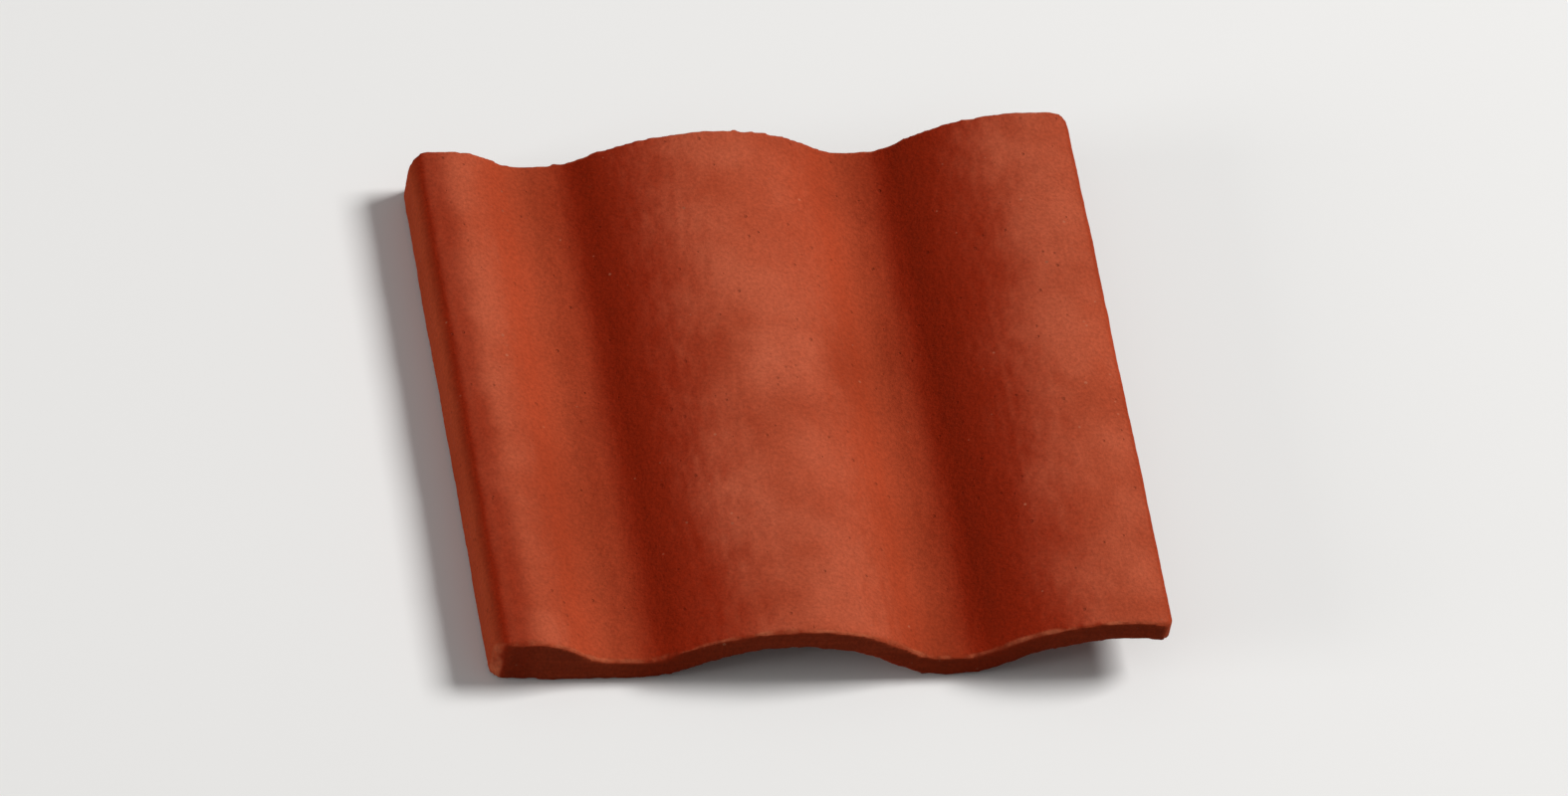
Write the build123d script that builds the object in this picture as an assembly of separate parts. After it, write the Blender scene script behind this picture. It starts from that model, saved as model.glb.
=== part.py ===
from build123d import *
import os

# Corrugated clay roof tile, moulded in one piece and fired. Millimetres.
# X runs across the tile, Y along its rolls, and the tile lies on the plane Z = 0.

# Overall length along the rolls, and thickness of the clay in the valleys and at the crests.
tile_length = 248.0
thickness = 11.0

# Widths across the tile, in order from its left side to its right side.
bead_round = 8.0
bead_land = 5.0
bead_flank = 33.0
first_valley = 9.0
roll_left_flank = 60.0
roll_right_flank = 52.0
second_valley = 5.0
lap_flank = 62.0
lip_reach = 16.0

# Heights of the crests above the top of the valleys, and how far the right side falls from its crest.
bead_rise = 11.0
roll_rise = 16.0
lap_rise = 19.0
lip_drop = 3.0

# Radius on the top face where a valley turns up into a flank.
valley_radius = 22.0

# Rounded edges of the right side, softened edges of the foot and both ends, and rounded corners in plan.
side_round = 3.0
end_round = 1.5
corner_radius = 6.0


def flank(valley, crest, radius):
    """Draw a flank as two tangent arcs, level at the valley, where radius is its bend, and at the crest."""
    run = crest.X - valley.X
    rise = crest.Y - valley.Y
    both_radii = (run**2 + rise**2) / (2 * rise)
    meeting = valley + (crest - valley) * (radius / both_radii)
    level = Vector(run, 0)
    TangentArc(valley, meeting, tangent=level)
    TangentArc(crest, meeting, tangent=-level)


def section():
    """The tile's section across its rolls, with its left side at X = 0 and its valleys on the ground."""
    down = Vector(0, -thickness)
    bead_top = thickness + bead_rise

    bead_start = Vector(bead_round, bead_top)
    bead_end = bead_start + Vector(bead_land, 0)
    valley_1 = bead_end + Vector(bead_flank, -bead_rise)
    valley_1_end = valley_1 + Vector(first_valley, 0)
    roll_crest = valley_1_end + Vector(roll_left_flank, roll_rise)
    valley_2 = roll_crest + Vector(roll_right_flank, -roll_rise)
    valley_2_end = valley_2 + Vector(second_valley, 0)
    lap_crest = valley_2_end + Vector(lap_flank, lap_rise)
    lip = lap_crest + Vector(lip_reach, -lip_drop)

    with BuildSketch(Plane.XZ) as profile:
        with BuildLine():
            # Top face, from the rounded side of the bead to the lip.
            side = Line((0, 0), (0, bead_top - bead_round))
            TangentArc(side @ 1, bead_start, tangent=(0, 1))
            Line(bead_start, bead_end)
            flank(valley_1, bead_end, valley_radius)
            Line(valley_1, valley_1_end)
            flank(valley_1_end, roll_crest, valley_radius)
            flank(valley_2, roll_crest, valley_radius)
            Line(valley_2, valley_2_end)
            flank(valley_2_end, lap_crest, valley_radius)
            TangentArc(lap_crest, lip, tangent=(1, 0))

            # Upright right side, then the underside: solid under the bead, hollow under both rolls.
            Line(lip, lip + down)
            TangentArc(lap_crest + down, lip + down, tangent=(1, 0))
            flank(valley_2_end + down, lap_crest + down, valley_radius + thickness)
            Line(valley_2_end + down, valley_2 + down)
            flank(valley_2 + down, roll_crest + down, valley_radius + thickness)
            flank(valley_1_end + down, roll_crest + down, valley_radius + thickness)
            Line(valley_1_end + down, (0, 0))
        make_face()
    return profile.sketch


def tile():
    """The section drawn out along the rolls and centred, with its edges and then its corners rounded."""
    body = extrude(section(), tile_length / 2, both=True)
    box = body.bounding_box()
    body = Pos(-box.center().X, 0, 0) * body

    side_edges = body.edges().filter_by(Axis.Y).group_by(Axis.X)[-1]
    body = fillet(side_edges, side_round)
    foot_edge = body.edges().filter_by(Axis.Y).group_by(Axis.X)[0].sort_by(Axis.Z)[0]
    body = fillet(foot_edge, end_round)
    ends = body.faces().filter_by(Axis.Y)
    body = fillet(ends.edges(), end_round)

    plan = fillet(Rectangle(box.size.X, tile_length).vertices(), corner_radius)
    return body & extrude(plan, box.size.Z)


os.makedirs("parts", exist_ok=True)
tile_body = tile()
export_step(tile_body, "parts/tile_body.step")
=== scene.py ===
# %% [markdown]
# # A corrugated clay roof tile
#
# The real tile is one piece of clay. A slab of wet clay was pressed to a wavy section, trimmed at both
# ends, dried and fired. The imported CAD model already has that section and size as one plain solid.
#
# This script makes the tile's looks: a body with soft, slightly uneven edges, and the dusty orange-red
# of clay that was fired without a glaze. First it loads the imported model. Its box is the size to keep to.

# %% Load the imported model
from math import atan, copysign, cos, pi, radians, sin

import bmesh
import bpy
from mathutils import Matrix, Vector


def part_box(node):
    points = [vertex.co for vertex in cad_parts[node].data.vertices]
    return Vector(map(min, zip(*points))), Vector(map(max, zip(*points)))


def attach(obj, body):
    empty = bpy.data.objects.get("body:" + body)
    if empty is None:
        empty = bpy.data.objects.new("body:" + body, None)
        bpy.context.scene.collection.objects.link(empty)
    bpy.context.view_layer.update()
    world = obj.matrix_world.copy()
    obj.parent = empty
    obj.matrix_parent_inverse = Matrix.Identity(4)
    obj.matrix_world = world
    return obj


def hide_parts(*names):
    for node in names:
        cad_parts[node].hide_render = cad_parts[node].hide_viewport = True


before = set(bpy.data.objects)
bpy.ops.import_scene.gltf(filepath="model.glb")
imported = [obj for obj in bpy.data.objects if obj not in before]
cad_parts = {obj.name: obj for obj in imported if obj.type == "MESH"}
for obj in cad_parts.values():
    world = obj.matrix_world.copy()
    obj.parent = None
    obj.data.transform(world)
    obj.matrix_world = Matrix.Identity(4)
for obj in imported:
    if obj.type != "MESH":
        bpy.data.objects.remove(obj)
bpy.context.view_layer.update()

MM = 0.001
low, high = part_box("tile_body")
print("nodes:", sorted(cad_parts))
print("tile, mm:", [round(side / MM, 1) for side in high - low])

# %% [markdown]
# ## Selecting by hand, in code
#
# Every operator acts on what is selected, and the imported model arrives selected. So each piece starts
# from an empty selection. Inside a mesh, a test on a vertex's place stands for the mouse.

# %% Selection helpers
def start_fresh():
    """Leave edit mode with nothing selected."""
    if bpy.context.mode != "OBJECT":
        bpy.ops.object.mode_set(mode="OBJECT")
    bpy.ops.object.select_all(action="DESELECT")


def pick(piece):
    """Select one piece alone and make it the active one."""
    start_fresh()
    piece.select_set(True)
    bpy.context.view_layer.objects.active = piece


def edit(piece):
    """Select one piece alone and open it in edit mode."""
    pick(piece)
    bpy.ops.object.mode_set(mode="EDIT")


Y, Z = 1, 2
NEAR = 0.1 * MM


def select_edges(axis, test):
    """In edit mode, select and count the edges along an axis whose two ends pass the test."""
    bpy.ops.mesh.select_mode(type="EDGE")
    bpy.ops.mesh.select_all(action="DESELECT")
    mesh = bmesh.from_edit_mesh(bpy.context.edit_object.data)
    across = [other for other in range(3) if other != axis]
    for edge in mesh.edges:
        start, end = (corner.co for corner in edge.verts)
        along = all(abs(start[other] - end[other]) < NEAR for other in across)
        edge.select_set(along and test(start) and test(end))
    bmesh.update_edit_mesh(bpy.context.edit_object.data)
    return sum(edge.select for edge in mesh.edges)


start_fresh()
print("selected at the start:", len(bpy.context.selected_objects))

# %% [markdown]
# ## The section
#
# Seen from its end, the tile is a low solid bead at the left, a rounded middle roll, a higher roll at the
# right and a narrow valley before each roll. Each flank is two arcs that meet smoothly, and the underside
# runs at an even distance below the top, as it does in a slab that is bent over a form.
#
# The sizes are those of the CAD solid, so the dressed tile fits it. The thickness and the bend of a valley
# come first, then the widths from left to right, which add up to the tile's, then the heights.

# %% Sizes of the section
thickness = 11.0 * MM
valley_radius = 22.0 * MM

bead_round = 8.0 * MM
bead_land = 5.0 * MM
bead_flank = 33.0 * MM
first_valley = 9.0 * MM
roll_left_flank = 60.0 * MM
roll_right_flank = 52.0 * MM
second_valley = 5.0 * MM
lap_flank = 62.0 * MM
lip_reach = 16.0 * MM

bead_rise = 11.0 * MM
roll_rise = 16.0 * MM
lap_rise = 19.0 * MM
lip_drop = 3.0 * MM

roll_foot = low.x + bead_round + bead_land + bead_flank + first_valley
roll_crest = roll_foot + roll_left_flank
lap_foot = roll_crest + roll_right_flank + second_valley
print("width, mm:", round((lap_foot + lap_flank + lip_reach - low.x) / MM, 3))

# %% [markdown]
# The outline could be traced point by point, but arcs keep it clean. So a single vertex is the pen: it is
# extruded for a straight stretch and spun round a centre for an arc, from the left foot up over the top
# and back along the underside. The pen keeps its place and its heading, as a turtle does in a drawing toy.

# %% A pen made of one vertex
QUARTER = pi / 2
ARC_STEP = 1.5 * MM
FEWEST_STEPS = 3
OVER_THE_TOP, BACK_BENEATH = -1, 1


class Pen:
    """Draws an outline in the plane of the tile's front end. It keeps its place and the way it faces."""

    def __init__(self, place):
        self.at = place
        self.facing = QUARTER
        self.course = OVER_THE_TOP

    def way(self, turn=0.0):
        """The direction at a turn from the way it faces, counted from +X towards +Z."""
        return Vector((cos(self.facing + turn), 0.0, sin(self.facing + turn)))

    def walk(self, length):
        """Extrude the last vertex straight ahead."""
        step = self.way() * length
        bpy.ops.mesh.extrude_region_move(TRANSFORM_OT_translate={"value": step})
        self.at = self.at + step

    def bend(self, radius, turn):
        """Spin the last vertex round a centre at its side: a positive turn is towards +Z from +X."""
        side = copysign(QUARTER, turn)
        centre = self.at + self.way(side) * radius
        steps = max(FEWEST_STEPS, round(radius * abs(turn) / ARC_STEP))
        bpy.ops.mesh.spin(steps=steps, angle=turn, center=centre, axis=(0.0, 1.0, 0.0))
        self.facing += turn
        self.at = centre - self.way(side) * radius

    def climb(self, run, rise, bottom_radius):
        """Draw a flank up to a crest: the bend of the valley, then the bend of the crest."""
        both_radii = (run**2 + rise**2) / (2 * rise)
        turn = 2 * atan(rise / run) * self.course
        self.bend(bottom_radius, -turn)
        self.bend(both_radii - bottom_radius, turn)

    def fall(self, run, rise, bottom_radius):
        """Draw a flank down into a valley: the bend of the crest, then the bend of the valley."""
        both_radii = (run**2 + rise**2) / (2 * rise)
        turn = 2 * atan(rise / run) * self.course
        self.bend(both_radii - bottom_radius, turn)
        self.bend(bottom_radius, -turn)


start_fresh()
bpy.ops.mesh.primitive_plane_add(size=thickness, location=(0.0, 0.0, 0.0))
tile = bpy.context.object
tile.name = "fired_tile"
edit(tile)
bpy.ops.mesh.merge(type="CENTER")
bpy.ops.transform.translate(value=low)
print("vertices in the pen:", len(bmesh.from_edit_mesh(tile.data).verts))

# %% [markdown]
# The pen starts at the left foot and goes up the side, over the bead, the middle roll and the lap roll.
# At the lip it turns square to the surface, and the underside follows the same bends at the tile's
# thickness. Where it ends is measured against where it began.

# %% Draw the outline
lip_radius = (lip_reach**2 + lip_drop**2) / (2 * lip_drop)
lip_turn = 2 * atan(lip_drop / lip_reach)

pen = Pen(low.copy())
pen.walk(thickness + bead_rise - bead_round)
pen.bend(bead_round, -QUARTER)
pen.walk(bead_land)
pen.fall(bead_flank, bead_rise, valley_radius)
pen.walk(first_valley)
pen.climb(roll_left_flank, roll_rise, valley_radius)
pen.fall(roll_right_flank, roll_rise, valley_radius)
pen.walk(second_valley)
pen.climb(lap_flank, lap_rise, valley_radius)
pen.bend(lip_radius, -lip_turn)

pen.facing = -QUARTER
pen.walk(thickness)
pen.facing = pi - lip_turn
pen.course = BACK_BENEATH
pen.bend(lip_radius, lip_turn)
pen.fall(lap_flank, lap_rise, valley_radius + thickness)
pen.walk(second_valley)
pen.climb(roll_right_flank, roll_rise, valley_radius + thickness)
pen.fall(roll_left_flank, roll_rise, valley_radius + thickness)
pen.walk(first_valley + bead_flank + bead_land + bead_round)
print("outline closes to within, mm:", round((pen.at - low).length / MM, 4))

# %% [markdown]
# ## From the outline to a slab
#
# The outline is filled and extruded along the rolls, as clay leaves a die. The two long edges at the right
# are rounded, and the foot at the left is only eased.

# %% Draw the slab out along the rolls
side_round = 3.0 * MM
foot_round = 1.5 * MM
same_place = 0.05 * MM

bpy.ops.mesh.select_all(action="SELECT")
bpy.ops.mesh.remove_doubles(threshold=same_place)
bpy.ops.mesh.edge_face_add()
bpy.ops.mesh.extrude_region_move(TRANSFORM_OT_translate={"value": (0.0, high.y - low.y, 0.0)})
bpy.ops.mesh.select_all(action="SELECT")
bpy.ops.mesh.normals_make_consistent(inside=False)

right_edges = select_edges(Y, lambda at: at.x > high.x - NEAR)
bpy.ops.mesh.bevel(offset=side_round, segments=5, affect="EDGES")
foot_edges = select_edges(Y, lambda at: at.x < low.x + NEAR and at.z < low.z + NEAR)
bpy.ops.mesh.bevel(offset=foot_round, segments=3, affect="EDGES")
print("edges rounded at the right and at the foot:", right_edges, foot_edges)

# %% [markdown]
# ## Trimmed ends
#
# A trimming frame cut both ends of the wet slab, with rounded corners. In the picture the left side of
# this tile is a little shorter than its right side, as happens when clay shrinks unevenly in the kiln.
#
# The frame is a block of its own, tall enough that only its sides cut. Its two left corners are drawn in,
# the front one more than the rear one, and its upright edges are bevelled to the corner radius. A Boolean
# modifier keeps only what the slab and the block share.

# %% A trimming block
corner_radius = 6.0 * MM
front_drawn_in = 7.0 * MM
rear_drawn_in = 5.0 * MM
block_height = 3 * (high.z - low.z)


def apply_modifier(piece, kind, **settings):
    """Add a modifier to a piece, set it and apply it."""
    pick(piece)
    modifier = piece.modifiers.new(kind.lower(), kind)
    for name, value in settings.items():
        setattr(modifier, name, value)
    bpy.ops.object.modifier_apply(modifier=modifier.name)


start_fresh()
bpy.ops.mesh.primitive_cube_add(size=1.0, location=(low + high) / 2)
block = bpy.context.object
block.scale = (high.x - low.x, high.y - low.y, block_height)
bpy.ops.object.transform_apply(location=True, rotation=True, scale=True)
edit(block)
select_edges(Z, lambda at: at.x < 0.0 and at.y < 0.0)
bpy.ops.transform.translate(value=(0.0, front_drawn_in, 0.0))
select_edges(Z, lambda at: at.x < 0.0 and at.y > 0.0)
bpy.ops.transform.translate(value=(0.0, -rear_drawn_in, 0.0))
select_edges(Z, lambda at: True)
bpy.ops.mesh.bevel(offset=corner_radius, segments=8, affect="EDGES")
bpy.ops.object.mode_set(mode="OBJECT")

apply_modifier(tile, "BOOLEAN", operation="INTERSECT", solver="EXACT", object=block)
bpy.data.objects.remove(block)
print("faces after trimming:", len(tile.data.polygons))

# %% [markdown]
# ## Clay that was pressed by hand
#
# So far every face is long and flat, with nothing between its edges to push. A voxel remesh turns the slab
# into small even squares, as a sculptor does before working a surface, and a few rounds of smoothing soften
# every edge the way a wet sponge does.

# %% Even faces and soft edges
VOXEL = 1.32 * MM

apply_modifier(tile, "REMESH", mode="VOXEL", voxel_size=VOXEL)
apply_modifier(tile, "SMOOTH", factor=0.5, iterations=4)
print("triangles:", 2 * len(tile.data.polygons))

# %% [markdown]
# The cut ends, their arrises and the bed of the tile each get marks of their own. An arris is the sharp
# edge where two faces meet. A vertex group holds each zone, with a weight that comes from the way the skin
# faces there: along the rolls on a cut end, down on the bed, and in between on an arris.

# %% Zones of the skin
def ramp(value, start, end):
    """Rise from 0 at the start to 1 at the end, and stay there."""
    return min(1.0, max(0.0, (value - start) / (end - start)))


def mark_zone(piece, name, weigh):
    """Make a vertex group whose weights come from the normals, and count what it holds."""
    group = piece.vertex_groups.new(name=name)
    weights = [weigh(corner.normal) for corner in piece.data.vertices]
    for index, weight in enumerate(weights):
        if weight > 0.0:
            group.add([index], weight, "REPLACE")
    return sum(weight > 0.0 for weight in weights)


zones = {
    "cut_ends": lambda facing: ramp(abs(facing.y), 0.8, 0.95),
    "arrises": lambda facing: ramp(abs(facing.y), 0.15, 0.5) * ramp(abs(facing.y), 1.0, 0.85),
    "bed": lambda facing: ramp(-facing.z, 0.5, 0.8),
}
for name, weigh in zones.items():
    print(name, "vertices:", mark_zone(tile, name, weigh))

# %% [markdown]
# Pressed clay keeps the marks of its making: slow waves from the hands, dents from the form, faint drag
# marks along the rolls and a coarse sandy skin. The cutting wire leaves lines across the ends, handling
# chips the arrises, and the sand of the drying board marks the bed.
#
# Each is a cloud pattern at its own real size. The level that leaves the surface where it is lies near the
# top of the pattern's range, so nearly every mark goes inwards and the tile never grows out of its size.
# The pattern is read in the space of an empty, whose scale stretches the marks.

# %% Waves, dents, drag marks, chips and skin
UNTOUCHED = 0.76
EVEN = (1.0, 1.0, 1.0)
along_wire = 10.0


def press(piece, name, size, depth, stretch=EVEN, zone=""):
    """Press a cloud pattern with marks of that size into a zone of the surface, up to that depth."""
    clouds = bpy.data.textures.new(name, "CLOUDS")
    clouds.noise_scale = size
    clouds.noise_depth = 1
    space = bpy.data.objects.new(name, None)
    bpy.context.scene.collection.objects.link(space)
    space.scale = stretch
    bpy.context.view_layer.update()
    apply_modifier(piece, "DISPLACE", texture=clouds, texture_coords="OBJECT", texture_coords_object=space,
                   strength=depth, mid_level=UNTOUCHED, vertex_group=zone)
    bpy.data.objects.remove(space)
    bpy.data.textures.remove(clouds)


press(tile, "waves", size=45.0 * MM, depth=0.8 * MM)
press(tile, "dents", size=12.0 * MM, depth=0.4 * MM)
press(tile, "drag_marks", size=3.5 * MM, depth=0.13 * MM, stretch=(1.0, 8.0, 1.0))
press(tile, "skin", size=2.6 * MM, depth=0.22 * MM)
press(tile, "chips", size=5.0 * MM, depth=1.0 * MM, zone="arrises")
press(tile, "wire_marks", size=2.6 * MM, depth=0.35 * MM, stretch=(along_wire, 1.0, 1.0), zone="cut_ends")
press(tile, "board_sand", size=3.2 * MM, depth=0.35 * MM, zone="bed")

tile.vertex_groups.clear()
pick(tile)
bpy.ops.object.shade_smooth()

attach(tile, "root")
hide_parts("tile_body")
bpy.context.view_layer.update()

# %% [markdown]
# ## Fired red clay
#
# The real material is red earthenware: iron-rich clay with sand and crushed fired clay in it, fired at
# about 1000 degrees without a glaze. It gives the eye a matt orange-red that shifts slowly across the tile
# with the heat of the kiln, paler dust on the crests and a sandy skin with pale and dark specks. A deeper
# red is painted in the hollows and on the flanks that face away from the main lamp, as painted shade.
#
# Everything reads the tile's own Object coordinates and normals, so the finish stays on the clay when the
# view turns. Each pattern's scale is worked out from the real size of its marks. A Mix node has sockets of
# one name for numbers and for colours, so those for colours go by their number.

# %% Colours and nodes
def from_hex(code):
    """Turn an sRGB hex colour into linear light."""
    parts = [int(code[place:place + 2], 16) / 255 for place in (1, 3, 5)]
    return [part / 12.92 if part <= 0.04045 else ((part + 0.055) / 1.055) ** 2.4 for part in parts] + [1.0]


def add_node(tree, kind, sockets=None, **settings):
    """Add a node, set it up, and give each socket a value or the output that feeds it."""
    node = tree.nodes.new(kind)
    for name, value in settings.items():
        setattr(node, name, value)
    for name, value in (sockets or {}).items():
        if isinstance(value, bpy.types.NodeSocket):
            tree.links.new(value, node.inputs[name])
        else:
            node.inputs[name].default_value = value
    return node


def per_metre(size):
    """The texture scale at which a pattern's marks are that size."""
    return 1.0 / size


FACTOR, FIRST, SECOND, MIXED = 0, 6, 7, 2
clay = bpy.data.materials.new("fired_red_clay")
clay.use_nodes = True
tree = clay.node_tree
shader = tree.nodes["Principled BSDF"]
coordinates = add_node(tree, "ShaderNodeTexCoord")
place = coordinates.outputs["Object"]
where = add_node(tree, "ShaderNodeSeparateXYZ", {"Vector": place})
facing = add_node(tree, "ShaderNodeSeparateXYZ", {"Vector": coordinates.outputs["Normal"]})
print("nodes to start from:", len(tree.nodes))

# %% [markdown]
# ### Kiln colour
#
# Red clay comes out paler and more orange where the kiln was cooler. The bead side of this tile is the
# paler one, and slow blotches about 70 mm across drift over that.

# %% Kiln colour
toward_cool = (-1.0, 0.3, 0.0)
paler_per_metre = 1.4

blotches = add_node(tree, "ShaderNodeTexNoise", {
    "Vector": place, "Scale": per_metre(70.0 * MM), "Detail": 3.0})
cool_side = add_node(tree, "ShaderNodeVectorMath", {0: place, 1: toward_cool}, operation="DOT_PRODUCT")
paleness = add_node(tree, "ShaderNodeMath", {
    0: cool_side.outputs["Value"], 1: paler_per_metre, 2: blotches.outputs["Fac"],
}, operation="MULTIPLY_ADD")
kiln = add_node(tree, "ShaderNodeMapRange", {
    "Value": paleness.outputs["Value"], "From Min": 0.25, "From Max": 0.75,
}, interpolation_type="SMOOTHSTEP")
colour = add_node(tree, "ShaderNodeMix", {
    FACTOR: kiln.outputs["Result"], FIRST: from_hex("#943418"), SECOND: from_hex("#AA4224"),
}, data_type="RGBA")
print("paler at the bead than at the lip by:", round((high.x - low.x) * paler_per_metre, 2))

# %% [markdown]
# ### Painted shade on the left flanks
#
# The flanks that face left, away from the main lamp, are painted a deeper red as shade. A mask reads which
# way the clay faces, and leaves out the upright side of the bead.

# %% Painted shade on the left flanks
left_flank_shade = add_node(tree, "ShaderNodeMapRange", {
    "Value": facing.outputs["X"], "From Min": 0.1, "From Max": -0.38, "To Max": 0.95,
}, interpolation_type="SMOOTHSTEP")
not_upright_side = add_node(tree, "ShaderNodeMapRange", {
    "Value": facing.outputs["X"], "From Min": -0.5, "From Max": -0.9, "To Min": 1.0, "To Max": 0.0})
# painted shade on the left-facing flanks, with the upright side of the bead left out
painted_flank_shade = add_node(tree, "ShaderNodeMath", {
    0: left_flank_shade.outputs["Result"], 1: not_upright_side.outputs["Result"]}, operation="MULTIPLY")
colour = add_node(tree, "ShaderNodeMix", {
    FACTOR: painted_flank_shade.outputs["Value"], FIRST: colour.outputs[MIXED], SECOND: from_hex("#8E2005"),
}, data_type="RGBA")
print("nodes so far:", len(tree.nodes))

# %% [markdown]
# ### Dusty crests
#
# Dust stays where the clay is level and high, in soft patches. It is kept off the flanks that face left, so
# the painted shade there stays dark. Each of these is a mask, and the dust is all of them multiplied.

# %% Dusty crests
valley_top = low.z + thickness

patches = add_node(tree, "ShaderNodeTexNoise", {
    "Vector": place, "Scale": per_metre(30.0 * MM), "Detail": 4.0})
patchy = add_node(tree, "ShaderNodeMapRange", {
    "Value": patches.outputs["Fac"], "From Min": 0.3, "From Max": 0.72, "To Min": 0.25, "To Max": 0.75,
}, interpolation_type="SMOOTHSTEP")
level = add_node(tree, "ShaderNodeMapRange", {
    "Value": facing.outputs["Z"], "From Min": 0.84, "From Max": 1.0, "To Min": 0.2,
}, interpolation_type="SMOOTHSTEP")
high_up = add_node(tree, "ShaderNodeMapRange", {
    "Value": where.outputs["Z"], "From Min": valley_top, "From Max": valley_top + 8.0 * MM, "To Min": 0.2,
}, interpolation_type="SMOOTHSTEP")
# less dust on the flanks that face left, which keeps their painted shade dark
dust_off_shaded_flanks = add_node(tree, "ShaderNodeMapRange", {
    "Value": facing.outputs["X"], "From Min": -0.5, "From Max": 0.0, "To Min": 0.2,
}, interpolation_type="SMOOTHSTEP")
dust = add_node(tree, "ShaderNodeMath", {
    0: level.outputs["Result"], 1: high_up.outputs["Result"]}, operation="MULTIPLY")
dust = add_node(tree, "ShaderNodeMath", {
    0: dust.outputs["Value"], 1: dust_off_shaded_flanks.outputs["Result"]}, operation="MULTIPLY")
print("nodes so far:", len(tree.nodes))

# %% [markdown]
# Two smudges on the middle roll, one each side of its crest, are where a dusty hand pressed it. Each is
# strongest at its middle and gone at its reach. They add to the dust, and the soft patches thin it all.

# %% Smudges on the middle roll
roll_top = valley_top + roll_rise
smudges = (
    (Vector((-24.0 * MM, -62.0 * MM, roll_top)), 24.0 * MM, 0.9),
    (Vector((-2.0 * MM, 12.0 * MM, roll_top)), 26.0 * MM, 0.6),
)

for middle, reach, strength in smudges:
    away = add_node(tree, "ShaderNodeVectorMath", {0: place, 1: middle}, operation="DISTANCE")
    smudge = add_node(tree, "ShaderNodeMapRange", {
        "Value": away.outputs["Value"], "From Max": reach, "To Min": strength, "To Max": 0.0,
    }, interpolation_type="SMOOTHSTEP")
    dust = add_node(tree, "ShaderNodeMath", {
        0: dust.outputs["Value"], 1: smudge.outputs["Result"]}, operation="ADD")
settled = add_node(tree, "ShaderNodeMath", {
    0: dust.outputs["Value"], 1: patchy.outputs["Result"]}, operation="MULTIPLY", use_clamp=True)
colour = add_node(tree, "ShaderNodeMix", {
    FACTOR: settled.outputs["Value"], FIRST: colour.outputs[MIXED], SECOND: from_hex("#C05E41"),
}, data_type="RGBA")
print("smudges:", len(smudges))

# %% [markdown]
# ### Painted shade along the rolls
#
# Painted shade: a dark band runs up from the foot of the middle roll and of the lap roll, over the hollow
# and the flank that faces away from the main lamp, and a narrow one along the rounded outer shoulder of the
# bead. A band is the distance from a line along the tile, and a soft noise makes it wander.

# %% Painted shade along the rolls
wander = 8.0 * MM
# bands of painted shade: the line each runs along, how far it reaches and how dark it is at the line
shade_bands = (
    (low.x + 9.5 * MM, 10.0 * MM, 0.65),
    (roll_foot + 10.0 * MM, 23.0 * MM, 0.65),
    (lap_foot + 15.0 * MM, 30.0 * MM, 0.65),
)

across = add_node(tree, "ShaderNodeMath", {
    0: patches.outputs["Fac"], 1: wander, 2: where.outputs["X"]}, operation="MULTIPLY_ADD")
for line, reach, strength in shade_bands:
    past = add_node(tree, "ShaderNodeMath", {
        0: across.outputs["Value"], 1: line + wander / 2}, operation="SUBTRACT")
    away = add_node(tree, "ShaderNodeMath", {0: past.outputs["Value"]}, operation="ABSOLUTE")
    band_shade = add_node(tree, "ShaderNodeMapRange", {
        "Value": away.outputs["Value"], "From Max": reach, "To Min": strength, "To Max": 0.0,
    }, interpolation_type="SMOOTHSTEP")
    colour = add_node(tree, "ShaderNodeMix", {
        FACTOR: band_shade.outputs["Result"], FIRST: colour.outputs[MIXED], SECOND: from_hex("#862007"),
    }, data_type="RGBA")
print("ash lines at, mm:", [round(line / MM, 1) for line, reach, strength in shade_bands])

# %% [markdown]
# ### Cut ends and rubbed arrises
#
# The wire smeared the clay of the ends into streaks along its path, and that fresh clay fired a little
# darker. The arrises round the ends were rubbed paler in handling. Both masks come from how far the skin
# faces along the rolls. A Mapping node draws the streaks out along the wire.

# %% Cut ends and rubbed arrises
toward_end = add_node(tree, "ShaderNodeMath", {0: facing.outputs["Y"]}, operation="ABSOLUTE")
turned = add_node(tree, "ShaderNodeMapRange", {
    "Value": toward_end.outputs["Value"], "From Min": 0.15, "From Max": 0.5,
}, interpolation_type="SMOOTHSTEP")
cut = add_node(tree, "ShaderNodeMapRange", {
    "Value": toward_end.outputs["Value"], "From Min": 0.75, "From Max": 0.95,
}, interpolation_type="SMOOTHSTEP")
drawn_out = add_node(tree, "ShaderNodeMapping", {"Vector": place, "Scale": (1.0 / along_wire, 1.0, 1.0)})
streaks = add_node(tree, "ShaderNodeTexNoise", {
    "Vector": drawn_out.outputs["Vector"], "Scale": per_metre(1.8 * MM), "Detail": 3.0})
streaked = add_node(tree, "ShaderNodeMath", {
    0: cut.outputs["Result"], 1: streaks.outputs["Fac"]}, operation="MULTIPLY")
colour = add_node(tree, "ShaderNodeMix", {
    FACTOR: streaked.outputs["Value"], FIRST: colour.outputs[MIXED], SECOND: from_hex("#7C2A14"),
}, data_type="RGBA")

rub = add_node(tree, "ShaderNodeTexNoise", {"Vector": place, "Scale": per_metre(9.0 * MM), "Detail": 3.0})
rubbed = add_node(tree, "ShaderNodeMapRange", {
    "Value": rub.outputs["Fac"], "From Min": 0.4, "From Max": 0.65, "To Min": 0.05, "To Max": 0.6})
arris = add_node(tree, "ShaderNodeMath", {
    0: turned.outputs["Result"], 1: cut.outputs["Result"]}, operation="SUBTRACT", use_clamp=True)
worn = add_node(tree, "ShaderNodeMath", {
    0: arris.outputs["Value"], 1: rubbed.outputs["Result"]}, operation="MULTIPLY")
colour = add_node(tree, "ShaderNodeMix", {
    FACTOR: worn.outputs["Value"], FIRST: colour.outputs[MIXED], SECOND: from_hex("#C56B49"),
}, data_type="RGBA")
print("nodes so far:", len(tree.nodes))

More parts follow.
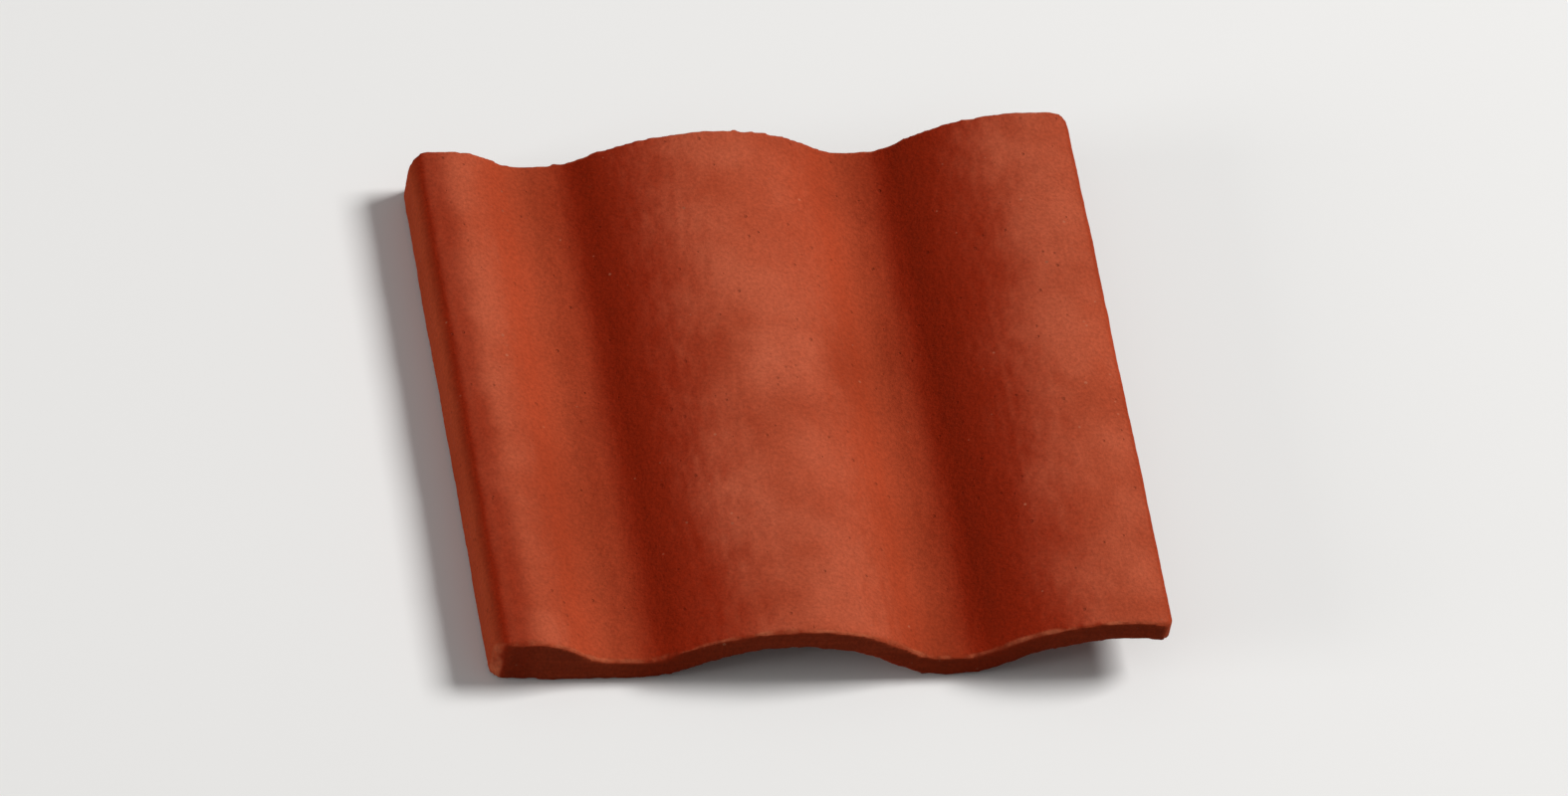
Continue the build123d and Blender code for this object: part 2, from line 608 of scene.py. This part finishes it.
# %% [markdown]
# ### Specks
#
# Crushed fired clay, called grog, shows as pale and dark specks about 1 mm across. Cells 5 mm wide hold
# one speck each at most, and each cell's own random colour decides whether it shows, its size and its
# tone. Distances in a cell count in widths of the cell.

# %% Specks of grog
largest_radius = 0.16
soft_rim = 0.06
left_out = 0.75

specks = add_node(tree, "ShaderNodeTexVoronoi", {"Vector": place, "Scale": per_metre(5.0 * MM)})
chance = add_node(tree, "ShaderNodeSeparateColor", {"Color": specks.outputs["Color"]})
speck_edge = add_node(tree, "ShaderNodeMath", {
    0: chance.outputs["Blue"], 1: largest_radius}, operation="MULTIPLY")
inside = add_node(tree, "ShaderNodeMath", {
    0: speck_edge.outputs["Value"], 1: specks.outputs["Distance"]}, operation="SUBTRACT")
spot = add_node(tree, "ShaderNodeMapRange", {
    "Value": inside.outputs["Value"], "From Max": soft_rim, "To Max": 0.35})
for channel, tone in (("Red", "#BE7E60"), ("Green", "#6B2A14")):
    chosen = add_node(tree, "ShaderNodeMath", {
        0: chance.outputs[channel], 1: left_out}, operation="GREATER_THAN")
    speck = add_node(tree, "ShaderNodeMath", {
        0: chosen.outputs["Value"], 1: spot.outputs["Result"]}, operation="MULTIPLY")
    colour = add_node(tree, "ShaderNodeMix", {
        FACTOR: speck.outputs["Value"], FIRST: colour.outputs[MIXED], SECOND: from_hex(tone),
    }, data_type="RGBA")
print("nodes so far:", len(tree.nodes))

# %% [markdown]
# ### Sandy skin
#
# Grains of sand make the skin matt and slightly rough, with small pores between them. Real grains are
# about 0.5 mm, too fine to show at this distance, so they are drawn at 1.4 mm. A pore sits in a cell 4 mm
# wide and is as large as the cell's random colour says, so many are too small to see. The streaks of the
# wire join in on the cut ends, and dusty places are the driest.

# %% Sandy skin
# Pores are painted darker, as shade inside them, and the bump presses them in.
pore_shade = -0.15
pore_depth = -0.8

sand = add_node(tree, "ShaderNodeTexNoise", {
    "Vector": place, "Scale": per_metre(1.4 * MM), "Detail": 3.0, "Roughness": 0.6})
sand_shade = add_node(tree, "ShaderNodeMapRange", {
    "Value": sand.outputs["Fac"], "From Min": 0.3, "From Max": 0.7, "To Min": 0.84, "To Max": 1.13})

pores = add_node(tree, "ShaderNodeTexVoronoi", {"Vector": place, "Scale": per_metre(4.0 * MM)})
luck = add_node(tree, "ShaderNodeSeparateColor", {"Color": pores.outputs["Color"]})
pore_edge = add_node(tree, "ShaderNodeMapRange", {
    "Value": luck.outputs["Red"], "From Min": 0.6, "From Max": 1.0, "To Max": 0.24})
in_pore = add_node(tree, "ShaderNodeMath", {
    0: pore_edge.outputs["Result"], 1: pores.outputs["Distance"]}, operation="SUBTRACT")
pore = add_node(tree, "ShaderNodeMapRange", {
    "Value": in_pore.outputs["Value"], "From Max": 0.12}, interpolation_type="SMOOTHSTEP")
shade = add_node(tree, "ShaderNodeMath", {
    0: pore.outputs["Result"], 1: pore_shade, 2: sand_shade.outputs["Result"]}, operation="MULTIPLY_ADD")
colour = add_node(tree, "ShaderNodeHueSaturation", {
    "Color": colour.outputs[MIXED], "Value": shade.outputs["Value"]})
tree.links.new(colour.outputs["Color"], shader.inputs["Base Color"])

relief = add_node(tree, "ShaderNodeMath", {
    0: pore.outputs["Result"], 1: pore_depth, 2: sand.outputs["Fac"]}, operation="MULTIPLY_ADD")
relief = add_node(tree, "ShaderNodeMath", {
    0: relief.outputs["Value"], 1: streaked.outputs["Value"]}, operation="ADD")
bump = add_node(tree, "ShaderNodeBump", {
    "Height": relief.outputs["Value"], "Strength": 0.9, "Distance": 0.45 * MM})
tree.links.new(bump.outputs["Normal"], shader.inputs["Normal"])

dryness = add_node(tree, "ShaderNodeMapRange", {
    "Value": patches.outputs["Fac"], "From Min": 0.3, "From Max": 0.7, "To Min": 0.78, "To Max": 0.92})
tree.links.new(dryness.outputs["Result"], shader.inputs["Roughness"])
shader.inputs["IOR"].default_value = 1.5
shader.inputs["Specular IOR Level"].default_value = 0.05

tile.data.materials.clear()
tile.data.materials.append(clay)
print("nodes in the clay:", len(tree.nodes))

# %% [markdown]
# ## Floor and light
#
# The tile lies on a plain pale matt floor. The camera sees the floor pale, but light that bounces off it
# meets a greyer one. That keeps the front end as dark as it is in the open, while the background stays
# pale. The Light Path node tells the two kinds of ray apart.

# %% Floor
PALE = from_hex("#F3F2F0")
GREY = from_hex("#8C8A88")
floor_width = 12.0


def seen_directly(tree):
    """Give 1 to a ray from the camera, straight or by way of gloss or glass, and 0 to bounced light."""
    ray = add_node(tree, "ShaderNodeLightPath")
    seen = add_node(tree, "ShaderNodeMath", {
        0: ray.outputs["Is Camera Ray"], 1: ray.outputs["Is Glossy Ray"]}, operation="MAXIMUM")
    seen = add_node(tree, "ShaderNodeMath", {
        0: seen.outputs["Value"], 1: ray.outputs["Is Transmission Ray"]}, operation="MAXIMUM")
    return seen.outputs["Value"]


start_fresh()
bpy.ops.mesh.primitive_plane_add(size=floor_width, location=(0.0, 0.0, low.z))
floor = bpy.context.object
floor.name = "floor"
bpy.ops.object.transform_apply(location=True, rotation=True, scale=True)

pale_floor = bpy.data.materials.new("pale_matt_floor")
pale_floor.use_nodes = True
tree = pale_floor.node_tree
floor_colour = add_node(tree, "ShaderNodeMix", {
    FACTOR: seen_directly(tree), FIRST: GREY, SECOND: PALE}, data_type="RGBA")
matt = tree.nodes["Principled BSDF"]
tree.links.new(floor_colour.outputs[MIXED], matt.inputs["Base Color"])
matt.inputs["Roughness"].default_value = 1.0
matt.inputs["Specular IOR Level"].default_value = 0.0
floor.data.materials.append(pale_floor)
print("floor, m:", [round(side, 2) for side in floor.dimensions])

# %% [markdown]
# One large soft box stands to the right and slightly behind, low enough for the rolls to shade their own
# left flanks, and far enough off to light the floor evenly. A weaker one low at the left fills the upright
# side of the bead, and the pale room adds a little from everywhere. An area lamp's power grows with the
# square of its distance for the same light.

# %% Soft boxes and room
room_light = 0.18


def hang_soft_box(name, way, height, distance, size, light):
    """Hang a square lamp at a compass way and a height, both in degrees, and turn it to the tile."""
    flat, rise = radians(way), radians(height)
    toward = Vector((cos(flat) * cos(rise), sin(flat) * cos(rise), sin(rise)))
    soft_box = bpy.data.lights.new(name, "AREA")
    soft_box.shape = "SQUARE"
    soft_box.size = size
    soft_box.energy = light * (pi * distance) ** 2
    lamp = bpy.data.objects.new(name, soft_box)
    bpy.context.scene.collection.objects.link(lamp)
    lamp.location = toward * distance
    lamp.rotation_euler = toward.to_track_quat("Z", "Y").to_euler()
    return round(soft_box.energy)


main_power = hang_soft_box("main_soft_box", way=12.0, height=44.0, distance=7.0, size=2.4, light=0.99)
fill_power = hang_soft_box("fill_soft_box", way=190.0, height=12.0, distance=4.0, size=1.6, light=0.38)

world = bpy.data.worlds.new("pale_room")
bpy.context.scene.world = world
world.use_nodes = True
tree = world.node_tree
tree.nodes.clear()
room = add_node(tree, "ShaderNodeBackground", {"Color": (1.0, 1.0, 1.0, 1.0), "Strength": room_light})
wall = add_node(tree, "ShaderNodeBackground", {"Color": from_hex("#E4E3E1"), "Strength": 1.0})
both = add_node(tree, "ShaderNodeMixShader", {
    0: seen_directly(tree), 1: room.outputs["Background"], 2: wall.outputs["Background"]})
add_node(tree, "ShaderNodeOutputWorld", {"Surface": both.outputs["Shader"]})
print("lamps, W:", main_power, fill_power)

# %% [markdown]
# ## Camera
#
# The photograph looks down on the tile from about 49 degrees, from in front and a little to its left, with
# the camera turned so that the tile leans. A long lens from 6 m keeps its sides nearly parallel.

# %% Camera
camera_way = radians(-17.6)
camera_height = radians(49.0)
camera_turn = radians(11.7)
camera_distance = 6.0
lens_length = 376.0

level_share = cos(camera_height)
back = Vector((sin(camera_way) * level_share, -cos(camera_way) * level_share, sin(camera_height)))
level_right = Vector((cos(camera_way), sin(camera_way), 0.0))
right = cos(camera_turn) * level_right + sin(camera_turn) * back.cross(level_right)
turned_view = Matrix((right, back.cross(right), back)).transposed().to_4x4()
lens = bpy.data.cameras.new("camera")
lens.lens = lens_length
camera = bpy.data.objects.new("camera", lens)
bpy.context.scene.collection.objects.link(camera)
camera.matrix_world = Matrix.Translation((low + high) / 2 + back * camera_distance) @ turned_view
bpy.context.scene.camera = camera
bpy.context.scene.view_settings.view_transform = "Standard"
print("camera at, m:", [round(side, 2) for side in camera.matrix_world.translation])
